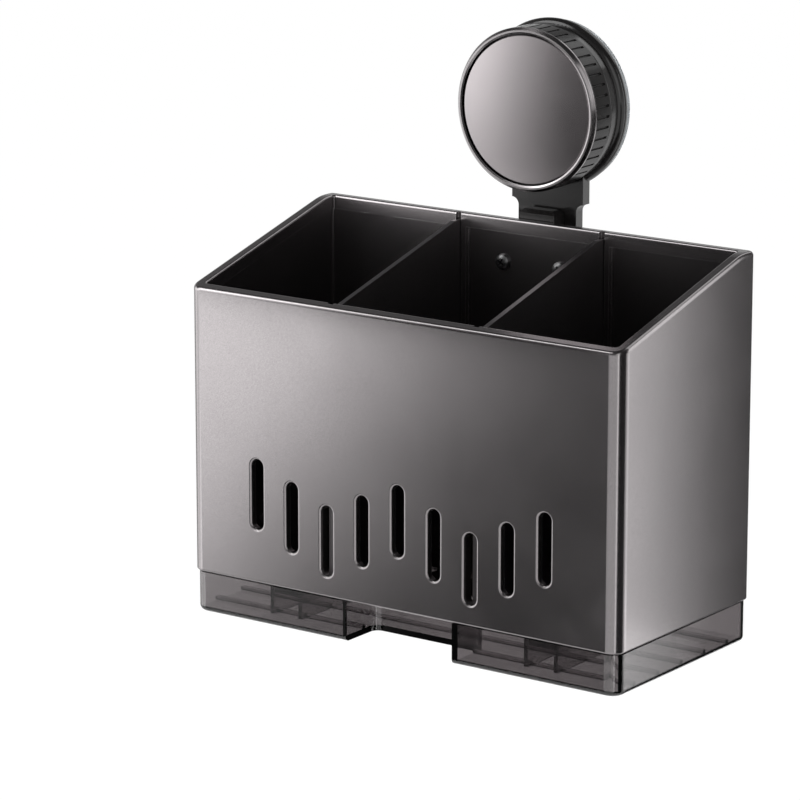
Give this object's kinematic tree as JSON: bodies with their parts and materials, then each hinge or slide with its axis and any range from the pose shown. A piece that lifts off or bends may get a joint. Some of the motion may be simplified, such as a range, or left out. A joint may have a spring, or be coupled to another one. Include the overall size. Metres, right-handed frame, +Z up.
{
  "type": "wall-mounted utensil holder",
  "caption": "Open-topped divided utensil caddy with a sloped rim and slotted front, hung on a twist suction wall mount, with a clear pull-out drip tray.",
  "frame": {"origin": "centre of the suction pad's wall face", "axes": "+Y into the wall, +Z up, X along the wall; the front of the holder faces -Y"},
  "size_m": [0.18, 0.098, 0.2088],
  "materials": {
    "gunmetal_plastic": "pearl gloss gun-metal",
    "divider_plastic": "satin dark",
    "mount_plastic": "gloss black",
    "grip_plastic": "satin black",
    "bezel_metal": "bright grey",
    "face_metal": "polished dark grey",
    "soft_pad": "cloudy soft gel",
    "soft_rubber": "matte",
    "steel": "plain zinc",
    "brass_insert": "plain",
    "white_acetal": "smooth",
    "clear_plastic": "clear smoky"
  },
  "bodies": {
    "wall_mount": {"suction_pad": "soft_pad", "pad_stud": "steel", "mount_housing": "mount_plastic"},
    "washer": {"thrust_washer": "white_acetal"},
    "knob": {"knob_grip": "grip_plastic", "knob_nut": "brass_insert", "knob_bezel": "bezel_metal", "knob_face": "face_metal"},
    "caddy": {"caddy_shell": "gunmetal_plastic", "hanger_receiver": "mount_plastic", "receiver_screws": "steel", "left_runner": "mount_plastic", "right_runner": "mount_plastic", "runner_screws": "steel", "left_bumper": "soft_rubber", "right_bumper": "soft_rubber"},
    "left_partition": {"left_divider": "divider_plastic"},
    "right_partition": {"right_divider": "divider_plastic"},
    "tray": {"drip_tray": "clear_plastic"}
  },
  "joints": [
    {"name": "knob_unscrew", "type": "slide", "parent": "wall_mount", "child": "washer", "axis": [0, -1, 0], "range_m": [0, 0.00301]},
    {"name": "knob_turn", "type": "hinge", "parent": "washer", "child": "knob", "pos_m": [0, -0.0155, 0], "axis": [0, -1, 0], "range_deg": [0, 540]},
    {"name": "caddy_lift", "type": "slide", "parent": "wall_mount", "child": "caddy", "axis": [0, 0, 1], "range_m": [0, 0.006]},
    {"name": "left_divider_lift", "type": "slide", "parent": "caddy", "child": "left_partition", "axis": [0, 0, 1], "range_m": [0, 0.122]},
    {"name": "right_divider_lift", "type": "slide", "parent": "caddy", "child": "right_partition", "axis": [0, 0, 1], "range_m": [0, 0.122]},
    {"name": "tray_pull", "type": "slide", "parent": "caddy", "child": "tray", "axis": [0, -1, 0], "range_m": [0, 0.09]}
  ],
  "couplings": [
    {"joint": "knob_unscrew", "follows": "knob_turn", "m_per_rad": 0.00031831}
  ]
}
